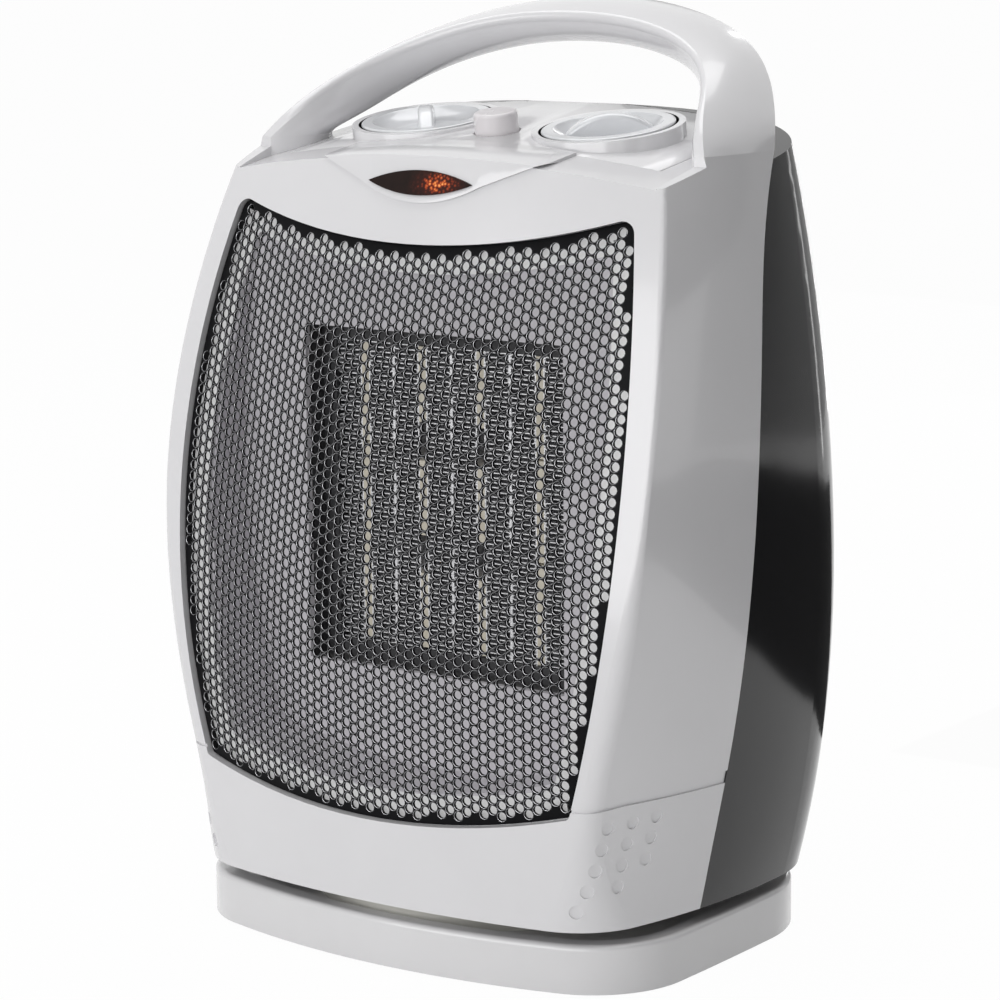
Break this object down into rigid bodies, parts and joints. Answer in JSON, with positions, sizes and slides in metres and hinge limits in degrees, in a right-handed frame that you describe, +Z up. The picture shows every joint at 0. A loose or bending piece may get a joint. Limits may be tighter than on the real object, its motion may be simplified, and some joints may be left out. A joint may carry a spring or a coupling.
{
  "type": "space heater",
  "caption": "Upright ceramic space heater with a carry handle, two dials and a push button, on a swivel base that lets it oscillate.",
  "frame": {"origin": "on the floor, on the swivel axis of the base", "axes": "+Z up, the outlet faces -Y, +X to the right of someone who looks at the outlet"},
  "size_m": [0.171, 0.1283, 0.2541],
  "materials": {
    "front_shell_plastic": "glossy silver-white moulded plastic",
    "base_plastic": "glossy silver-white moulded plastic",
    "rear_shell_plastic": "glossy near-black moulded plastic",
    "knob_plastic": "silvery glossy plastic",
    "button_plastic": "pinkish white glossy plastic",
    "lens_plastic": "clear dark red lens",
    "lamp_glass": "small orange neon lamp",
    "grille_steel": "black painted perforated steel",
    "baffle_steel": "pale grey painted steel",
    "inner_plastic": "dark moulded plastic",
    "pale_nylon": "white nylon",
    "ceramic": "cream ceramic heating rows",
    "fin_aluminium": "thin folded aluminium strip",
    "sheet_steel": "zinc plated steel",
    "laminations": "varnished steel laminations",
    "copper": "enamelled copper winding",
    "brass": "plain brass",
    "foot_rubber": "soft black rubber"
  },
  "bodies": {
    "base": {"base_shell": "base_plastic", "base_bottom_cover": "base_plastic", "rubber_feet": "foot_rubber", "base_screws": "sheet_steel", "pivot_post": "inner_plastic", "retaining_washer": "sheet_steel", "glide_ring": "pale_nylon", "slot_plate": "inner_plastic"},
    "fan": {"fan_shaft": "sheet_steel", "fan_rotor": "sheet_steel", "fan_impeller": "inner_plastic"},
    "crank": {"crank_arm": "pale_nylon"},
    "thermostat": {"thermostat_knob": "knob_plastic", "thermostat_shaft": "sheet_steel"},
    "mode_selector": {"mode_knob": "knob_plastic", "mode_shaft": "sheet_steel"},
    "push_button": {"osc_button": "button_plastic"},
    "pendulum": {"tip_pendulum": "sheet_steel"},
    "head": {"air_duct": "inner_plastic", "cable_gland": "inner_plastic", "ceramic_rows": "ceramic", "control_panel": "front_shell_plastic", "fan_bearings": "brass", "fan_coil": "copper", "fan_shroud": "inner_plastic", "fan_stator": "laminations", "fin_base_strips": "fin_aluminium", "fin_separators": "fin_aluminium", "floor_plate": "inner_plastic", "front_grille": "grille_steel", "front_shell": "front_shell_plastic", "handle_grip": "front_shell_plastic", "heat_fins": "fin_aluminium", "heater_frame": "inner_plastic", "heater_terminals": "brass", "indicator_lamp": "lamp_glass", "indicator_lens": "lens_plastic", "lamp_holder": "inner_plastic", "mode_switch": "inner_plastic", "motor_front_bracket": "sheet_steel", "motor_rear_bracket": "sheet_steel", "motor_screws": "sheet_steel", "osc_motor": "sheet_steel", "osc_motor_screws": "sheet_steel", "osc_switch": "inner_plastic", "outlet_baffle": "baffle_steel", "pivot_bush": "pale_nylon", "rear_shell": "rear_shell_plastic", "shell_screws": "sheet_steel", "terminal_block": "pale_nylon", "terminal_screws": "brass", "thermal_cutoff": "sheet_steel", "thermal_fuse": "sheet_steel", "thermostat_switch": "inner_plastic", "tip_bracket": "inner_plastic", "tip_microswitch": "inner_plastic"}
  },
  "joints": [
    {"name": "head_swing", "type": "hinge", "parent": "base", "child": "head", "pos_m": [0, 0, 0.0183], "axis": [0, 0, 1], "range_deg": [-35, 35]},
    {"name": "crank_turn", "type": "hinge", "parent": "head", "child": "crank", "pos_m": [0, -0.024, 0.016], "axis": [0, 0, 1], "range_deg": [-104, 104]},
    {"name": "fan_spin", "type": "hinge", "parent": "head", "child": "fan", "pos_m": [0, 0.0158, 0.121], "axis": [0, -1, 0], "continuous": true},
    {"name": "thermostat_turn", "type": "hinge", "parent": "head", "child": "thermostat", "pos_m": [-0.0304, 0.009, 0.21951], "axis": [0, -0.1564, 0.9877], "range_deg": [-135, 135]},
    {"name": "mode_turn", "type": "hinge", "parent": "head", "child": "mode_selector", "pos_m": [0.0304, 0.009, 0.21951], "axis": [0, -0.1564, 0.9877], "range_deg": [0, 135]},
    {"name": "button_press", "type": "slide", "parent": "head", "child": "push_button", "axis": [0, 0.1564, -0.9877], "range_m": [0, 0.003], "stiffness_N_per_m": 400, "springref_m": -0.001},
    {"name": "pendulum_swing", "type": "hinge", "parent": "head", "child": "pendulum", "pos_m": [0.04, 0.032, 0.054], "axis": [0, 1, 0], "range_deg": [-18, 18]}
  ],
  "couplings": [
    {"joint": "crank_turn", "follows": "head_swing", "ratio": -2.9714}
  ]
}
